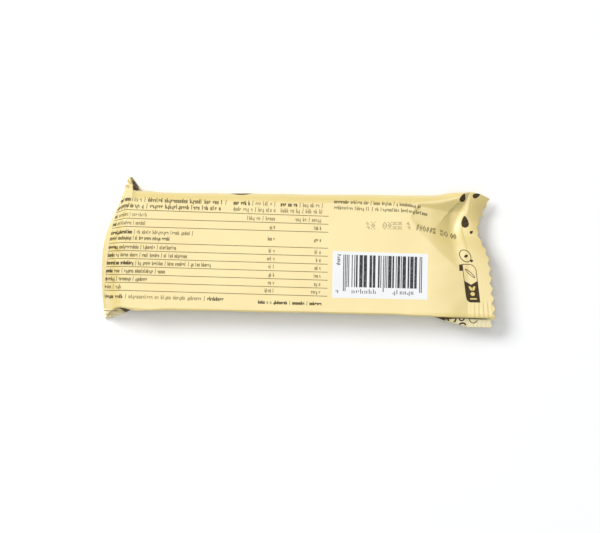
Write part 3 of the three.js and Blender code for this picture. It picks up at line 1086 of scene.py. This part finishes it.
def build_table_print(writer):
    """Header, column headings, row labels, values and the two lines under the table."""
    header = dict(cap=HEADER_CAP, fine=0.22, bold=0.29)
    for level, (right, words) in zip(HEADER_LEVELS, HEADER_LINES):
        base = centred(level, HEADER_CAP)
        writer.line(table_start(level), right, base, words, on_table, **header)
    for x0, x1, *lines in HEADINGS:
        for level, words in zip(HEADER_LEVELS, lines):
            writer.line(x0, x1, centred(level, HEADER_CAP), words, on_table, cap=HEADER_CAP)
    for row, x1, words in ROW_LABELS:
        level = row_level(row)
        writer.line(table_start(level), x1, centred(level), words, on_table)
    for row, *widths, first, second in ROW_VALUES:
        for right, width, words in zip(VALUE_RIGHT, widths, (first, second)):
            writer.line(right - width, right, centred(row_level(row)), words, on_table)
    row, x1, words = FOOTER
    writer.line(table_start(row_level(row)), x1, centred(row_level(row)), words, on_table)
    row, x0, x1, words = FOOTNOTE
    base = centred(row_level(row), FOOTNOTE_CAP)
    writer.line(x0, x1, base, words, on_table, cap=FOOTNOTE_CAP)


# ---- date print

DATE_LEFT = 13.4
DATE_CAP = 1.5
# Each line: right end, centre at the left and at the right, words.
DATE_LINES = (
    (47.3, 19.7, 18.85, "*9 7 3 / 4 6 / 1 10 2"),
    (49.9, 17.35, 16.4, "10 5 2 / 2 10 *14"),
)
DATE_DROOP = dict(start=38.0, rate=0.008)


def build_date_print(writer):
    """Two lines over the date: they slant, and droop where the film starts to close."""

    def base(right, first, last):
        def height(x):
            past = np.maximum(0, x - DATE_DROOP["start"])
            middle = mix(first, last, (x - DATE_LEFT) / (right - DATE_LEFT))
            return middle - DATE_DROOP["rate"] * past**2 - DATE_CAP / 2

        return height

    pen = dict(cap=DATE_CAP, fine=0.22, bold=0.24)
    for right, first, last, words in DATE_LINES:
        writer.line(DATE_LEFT, right, base(right, first, last), words, on_film, **pen)


DOT_PITCH = 0.4
DOT_RADIUS = 0.17
DOT_ROWS, DOT_COLUMNS = 7, 5
# Dots of a cell, row by row from its top: plain lozenges, slants and chequers.
DOT_CELLS = (
    "..#.. .#.#. #...# #.#.# #...# .#.#. ..#..",
    "...#. ..#.# ..#.# .#.#. .#.#. #.#.. .#...",
    "#.#.# .#.#. #.#.# ..... #.#.# .#.#. #.#.#",
    ".#... #.#.. .#.#. ..... .#.#. ..#.# ...#.",
    "#...# ..#.. .#.#. #.#.# .#.#. ..#.. #...#",
)
# The dots' middle line, and the height of their cells before and beyond the film's bend.
DATE_PATH = ((25.9, 43.4, 45.5, 53.2, 55.0, 61.4), (10.5, 10.7, 10.3, 8.7, 8.4, 6.9))
DATE_HEIGHT = dict(cells=(2.6, 1.9), x=(43.0, 50.0))
# Groups of dotted cells: start, end, number of cells.
DATE_GROUPS = (
    (25.9, 29.9, 2),
    (32.4, 40.2, 4),
    (41.9, 43.6, 1),
    (45.5, 53.4, 6),
    (55.0, 58.6, 2),
    (59.3, 61.6, 2),
)


def dotted_cell(rng):
    """Columns and rows, from the cell's foot, of the dots in one cell drawn from the patterns."""
    rows = rng.choice(DOT_CELLS).split()[::-1]
    dots = np.array([[mark == "#" for mark in row] for row in rows])
    return np.nonzero(dots.T)


def build_date_dots():
    """Printed dots in cells of five by seven, chosen by a seeded draw: a code of no value."""
    dots = Print("date_dots", BOLD_INK, "ink")
    rng = np.random.default_rng(5)
    places = []
    for start, end, cells in DATE_GROUPS:
        pitch = (end - start) / cells
        step = min(DOT_PITCH, 0.8 * pitch / DOT_COLUMNS)
        for cell in range(cells):
            column, row = dotted_cell(rng)
            x = start + (cell + 0.12) * pitch + column * step
            height = mix(*DATE_HEIGHT["cells"], ease_between(x, *DATE_HEIGHT["x"]))
            y = np.interp(x, *DATE_PATH) + (row / (DOT_ROWS - 1) - 0.5) * height
            places.append(np.stack([x, y]))
    x, y = np.concatenate(places, axis=1)[:, :, None, None]
    u, v = disc(3)
    dots.add(on_film(x + DOT_RADIUS * u, y + DOT_RADIUS * v))
    dots.build()


# ---- the white panel

PANEL_X = (13.2, 50.35)
PANEL_TOP = (0.37, -0.17)
PANEL_BOTTOM = (-17.8, -18.0)
BARS_X = (17.4, 48.0)
BARS_SHARE = (0.07, 0.765)
GUARD_SHARE = 0.855
BAR_MODULE = 0.33
BAR_WIDTHS = ((1, 2, 3, 4), (0.42, 0.28, 0.2, 0.1))
BAR_GAPS = ((1, 2, 3), (0.6, 0.27, 0.13))
GUARD_MODULES = 3
# Upright ticks left of the bars: lower and upper end, and the x of their feet.
PANEL_STRIP = (-5.1, -0.8, 16.2)


def panel_y(x, share):
    """Height across the pack inside the panel, from its top edge, 0, to its bottom edge, 1."""
    along = (x - PANEL_X[0]) / (PANEL_X[1] - PANEL_X[0])
    return mix(mix(*PANEL_TOP, along), mix(*PANEL_BOTTOM, along), share)


def bar_strokes():
    """Left edges, widths and lengths of bars drawn at random, so that they read as nothing."""
    rng = np.random.default_rng(44)
    modules = round((BARS_X[1] - BARS_X[0]) / BAR_MODULE)
    last = modules - GUARD_MODULES
    guards = (0, modules // 2, last)
    strokes, at = [], 0
    while at < last:
        guard = any(g <= at < g + GUARD_MODULES for g in guards)
        width = 1 if guard else rng.choice(BAR_WIDTHS[0], p=BAR_WIDTHS[1])
        gap = 1 if guard else rng.choice(BAR_GAPS[0], p=BAR_GAPS[1])
        strokes.append((at, min(width, last - at), guard))
        at += width + gap
    strokes += [(last, 1, True), (last + 2, 1, True)]
    return [(BARS_X[0] + n * BAR_MODULE, width * BAR_MODULE, guard) for n, width, guard in strokes]


def build_panel():
    """A white field with a row of bars, and plain ticks under them."""
    panel = Print("white_panel", WHITE_INK, "white_panel", top=0.03)
    u, v = lattice(90, 46)
    x = mix(*PANEL_X, (u + 1) / 2)
    panel.add(on_film(x, panel_y(x, (1 - v) / 2)))
    panel.build()

    bars = Print("panel_bars", BLACK_INK, "ink", top=0.06)
    for left, width, guard in bar_strokes():
        x, rise = np.meshgrid([left, left + width], np.linspace(0, 1, 30), indexing="ij")
        share = mix(BARS_SHARE[0], GUARD_SHARE if guard else BARS_SHARE[1], rise)
        bars.add(on_film(x, panel_y(x, share)))
    bars.build()

    marks = Print("panel_marks", BLACK_INK, "ink", top=0.06)
    small = SmallPrint(marks, marks, 17)
    for x0, x1, words in ((14.4, 15.9, "1"), (20.6, 30.6, "6"), (36.6, 45.1, "6")):
        small.line(x0, x1, lambda x: panel_y(x, 0.9), words, on_film, cap=1.75, fine=0.3)
    low, high, foot = PANEL_STRIP
    small.line(low, high, lambda y: 0 * y, "5", lambda y, up: on_film(foot - up, y), fine=0.26)
    marks.build()


# ---- signs at the seal

# Filled signs: middle, half length, half width, turn in degrees. Drops are drawn in at the tip.
DROPS = (
    ((63.6, 21.9), 1.7, 1.0, 70),
    ((68.9, 22.9), 1.5, 0.85, 20),
    ((64.6, 12.6), 2.3, 1.35, 95),
    ((67.2, 8.6), 0.7, 0.55, 40),
)
DROP_TAPER = 0.45
RING_DOTS = (((65.2, -0.8), 0.75, 0.55, 30), ((67.4, -2.6), 0.55, 0.5, 30))
BLOCK = ((63.3, -5.3), 0.7, 1.25, 3)
# Open signs: the same, and the width of the line.
RING = ((64.9, -0.7), 2.6, 1.9, -50, 0.28)
CAPSULE = ((0.1, -7.5), 2.3, 0.42, -45, 0.26)
# The tag: its middle line, lean and sides, and its dark foot with a notch on top and a round
# lower left corner.
TAG = dict(x=67.3, y=-11.0, lean=-0.14, half_width=2.55, head=-4.0, foot=-18.8)
TAG_HEAD = dict(corner=2.4, line=0.24, left_end=2.0)
TAG_FOOT = dict(notch=(-10.4, 1.5), round_from=0.35, round_size=1.6, bulge=2.2)
# In the foot: two leaves, a dot and a bar, in the tag's own places.
LEAVES = dict(middle=(0.15, -13.3), apart=0.6, length=1.05, width=0.5, turn=35, taper=0.4)
FOOT_DOT = ((0.1, -15.5), 0.85, 0.75, 0)
FOOT_BAR = ((0.2, -17.4), 1.3, 0.25, 0)


def on_tag(x, y):
    """Film coordinates in a tag that leans left at its head: x goes with height."""
    return on_film(TAG["x"] + x + TAG["lean"] * (y - TAG["y"]), y)


def tag_outline():
    """Head, a rounded far corner and the right side, as one path."""
    half, corner, head = TAG["half_width"], TAG_HEAD["corner"], TAG["head"]
    bend = np.linspace(0, math.pi / 2, 9)[1:]
    down = np.linspace(head - corner, TAG["foot"], 21)[1:]
    right = half - corner + corner * np.sin(bend)
    x = [np.linspace(-half, half - corner, 8), right, np.full(20, half)]
    y = [np.full(8, head), head - corner * (1 - np.cos(bend)), down]
    return np.concatenate(x), np.concatenate(y)


def tag_foot():
    """The tag's dark foot, from its rounded lower corner up to its notch."""
    u, v = lattice(15, 24)
    depth, rise = TAG_FOOT["notch"]
    notch = depth - rise * (1 - np.abs(u))
    past = np.clip(-u - TAG_FOOT["round_from"], 0, 1 - TAG_FOOT["round_from"])
    rounded = 1 - np.sqrt(1 - past**2 * TAG_FOOT["bulge"])
    low = TAG["foot"] + TAG_FOOT["round_size"] * rounded
    return u * TAG["half_width"], mix(low, notch, (v + 1) / 2)


def build_signs():
    """Plain signs on the seal side: drops, a ring, and an upright tag with a dark foot."""
    signs = Print("seal_signs", BROWN_INK, "ink")
    round_grid, square_grid = disc(15), lattice(5, 7)
    turns = np.linspace(0, math.tau, 49)
    for drop in DROPS:
        signs.add(on_film(*patch(round_grid, *drop, DROP_TAPER)))
    signs.add(on_film(*oval(turns, *RING)))
    for dot in RING_DOTS:
        signs.add(on_film(*patch(round_grid, *dot)))
    signs.add(on_film(*patch(square_grid, *BLOCK)))

    signs.add(on_tag(*ribbon(*tag_outline(), TAG_HEAD["line"])))
    side = np.linspace(TAG["head"], TAG["foot"] + TAG_HEAD["left_end"], 24)
    signs.add(on_tag(*ribbon(np.full(24, -TAG["half_width"]), side, TAG_HEAD["line"])))
    signs.add(on_tag(*oval(turns, *CAPSULE)))
    signs.add(on_tag(*tag_foot()))
    signs.build()

    windows = Print("tag_windows", CREAM_INK, "film", top=0.06)
    x, y = LEAVES["middle"]
    size = LEAVES["length"], LEAVES["width"]
    for side in (-1, 1):
        middle, turn = (x + side * LEAVES["apart"], y), 90 - side * LEAVES["turn"]
        windows.add(on_tag(*patch(round_grid, middle, *size, turn, LEAVES["taper"])))
    windows.add(on_tag(*patch(round_grid, *FOOT_DOT)))
    windows.add(on_tag(*patch(square_grid, *FOOT_BAR)))
    windows.build()


# ---- the under side's print, and a band of painted shadow at the near lip

# Arcs on the near lip: first and last turn, middle, half length, half width, lean, line width.
LIP_ARCS = (
    (-190, 20, (60.1, -25.4), 1.5, 1.3, 0, 0.6),
    (-190, 10, (63.9, -25.1), 0.95, 0.85, 0, 0.5),
    (10, 170, (64.3, -27.9), 1.25, 1.0, 0, 0.6),
    (-190, -20, (68.5, -25.1), 1.6, 1.7, 0, 0.3),
)
# The dark band under the upper sheet's near edge, painted shadow of that overhanging edge in part
# and the front's dark print in part: its depth down the film at each x.
LIP_SHADOW_BAND = dict(
    x=(52.0, 55.0, 57.4, 58.4, 61.5, 65.0, 67.0, 70.0, 73.5, 75.0),
    depth=(0.1, 1.0, 1.7, 0.8, 0.5, 0.6, 1.2, 1.3, 1.1, 0.3),
)
# The bean on the far wall, in film coordinates: middle, half length, half width, turn.
SIDE_BEAN = ((-22.5, 26.5), 4.8, 3.2, 0)
# Beans of the front, in staggered columns along the pack.
BEANS = dict(columns=9, rows=3, start=(-46.0, -15.5), pitch=(12.5, 15.5), stagger=4.0)
BEAN = dict(stray=(1.6, 1.2), size=(2.2, 3.6), slim=0.6, taper=0.3)


def on_front(station, across):
    """Film coordinates of the under side, `across` its middle, past its seam too."""
    return station, np.where(across >= 0, LAYER - across, -LAYER - across)


def build_front():
    """Plain dark beans over the front and on the far wall, arcs on the near lip, and a band under
    the upper sheet's near edge that is painted shadow in part and the front's dark print in part.
    """
    front = Print("front_print_and_painted_shadow", BROWN_INK, "ink")
    rng = np.random.default_rng(12)
    grid = disc(15)
    (x0, y0), (pitch_x, pitch_y) = BEANS["start"], BEANS["pitch"]
    stray_x, stray_y = BEAN["stray"]
    for column in range(BEANS["columns"]):
        for row in range(BEANS["rows"]):
            x = x0 + column * pitch_x + rng.uniform(-stray_x, stray_x)
            y = y0 + row * pitch_y + (column % 2) * BEANS["stagger"]
            y = y + rng.uniform(-stray_y, stray_y)
            size = rng.uniform(*BEAN["size"])
            turn = rng.uniform(0, 180)
            bean = patch(grid, (x, y), size, size * BEAN["slim"], turn, BEAN["taper"])
            front.add(on_front(*bean))
    front.add(patch(grid, *SIDE_BEAN))
    for first, last, *arc in LIP_ARCS:
        front.add(on_film(*oval(np.radians(np.linspace(first, last, 25)), *arc)))
    # The band of painted shadow under the upper sheet's near edge, in part the front's dark print.
    x = np.linspace(LIP_SHADOW_BAND["x"][0], LIP_SHADOW_BAND["x"][-1], 60)
    station, rim = on_film(x, crease_line(x) + SHIFT_Y - 0.05)
    depth = np.interp(x, LIP_SHADOW_BAND["x"], LIP_SHADOW_BAND["depth"])[:, None] * np.linspace(0, 1, 5)
    front.add((station[:, None], rim[:, None] - depth))
    front.build()


def build_pack():
    build_film()
    build_rules()
    fine = Print("small_print", FINE_INK, "ink")
    bold = Print("bold_print", BOLD_INK, "ink")
    writer = SmallPrint(fine, bold, 9)
    build_table_print(writer)
    build_date_print(writer)
    fine.build()
    bold.build()
    build_date_dots()
    build_panel()
    build_signs()
    build_front()


# ---- floor, light and camera

FLOOR_HALF = 1500.0
FLOOR_Z = -0.02
VIEW_POINT = (0.882 + SHIFT_X, -5.9, 9.0)
VIEW_TURN = 0.01658
VIEW_WIDTH = 234.0
VIEW_DISTANCE = 2000.0
WORLD_COLOUR = (0.94, 0.965, 1.0, 1)
WORLD_LIGHT = 0.4
LAMP_COLOUR = (1.0, 0.988, 0.97)
# Lamps: direction towards each, distance, size and power.
KEY = dict(towards=(-0.78, 0.66, 1.0), distance=3.0, size=1.5, power=66.0)
TOP = dict(towards=(0.03, 0.02, 1.0), distance=3.0, size=1.95, power=27.0)


def build_floor():
    corners = np.array([(-1, -1), (1, -1), (1, 1), (-1, 1)], float) * FLOOR_HALF
    points = np.column_stack([corners, np.full(4, FLOOR_Z)])
    mesh = make_mesh("studio_floor", points, [[0, 1, 2, 3]], {})
    mesh.materials.append(studio_floor())
    put_in_scene("studio_floor", mesh)


def build_light():
    """An even white surround, a soft lamp up at the far left and another overhead."""
    world = bpy.data.worlds.new("studio")
    world.use_nodes = True
    background = next(n for n in world.node_tree.nodes if n.type == "BACKGROUND")
    background.inputs["Color"].default_value = WORLD_COLOUR
    background.inputs["Strength"].default_value = WORLD_LIGHT
    bpy.context.scene.world = world

    for name, setting in dict(key=KEY, top=TOP).items():
        data = bpy.data.lights.new(name, "AREA")
        data.shape = "DISK"
        data.size = setting["size"]
        data.energy = setting["power"]
        data.color = LAMP_COLOUR
        lamp = put_in_scene(name, data)
        towards = Vector(setting["towards"]).normalized()
        turn = (-towards).to_track_quat("-Z", "Y").to_matrix().to_4x4()
        lamp.matrix_world = Matrix.Translation(towards * setting["distance"]) @ turn


def build_camera():
    """Straight down on the pack, turned a little in its own plane."""
    data = bpy.data.cameras.new("camera")
    data.sensor_width = 36.0
    data.lens = data.sensor_width * VIEW_DISTANCE / VIEW_WIDTH
    data.clip_start, data.clip_end = 0.01, 20.0
    camera = put_in_scene("camera", data)
    x, y, z = VIEW_POINT
    place = Matrix.Translation((x * MM, y * MM, (z + VIEW_DISTANCE) * MM))
    camera.matrix_world = place @ Matrix.Rotation(VIEW_TURN, 4, "Z")
    bpy.context.scene.camera = camera


build_pack()
build_floor()
build_light()
build_camera()
bpy.context.scene.view_settings.view_transform = "Standard"
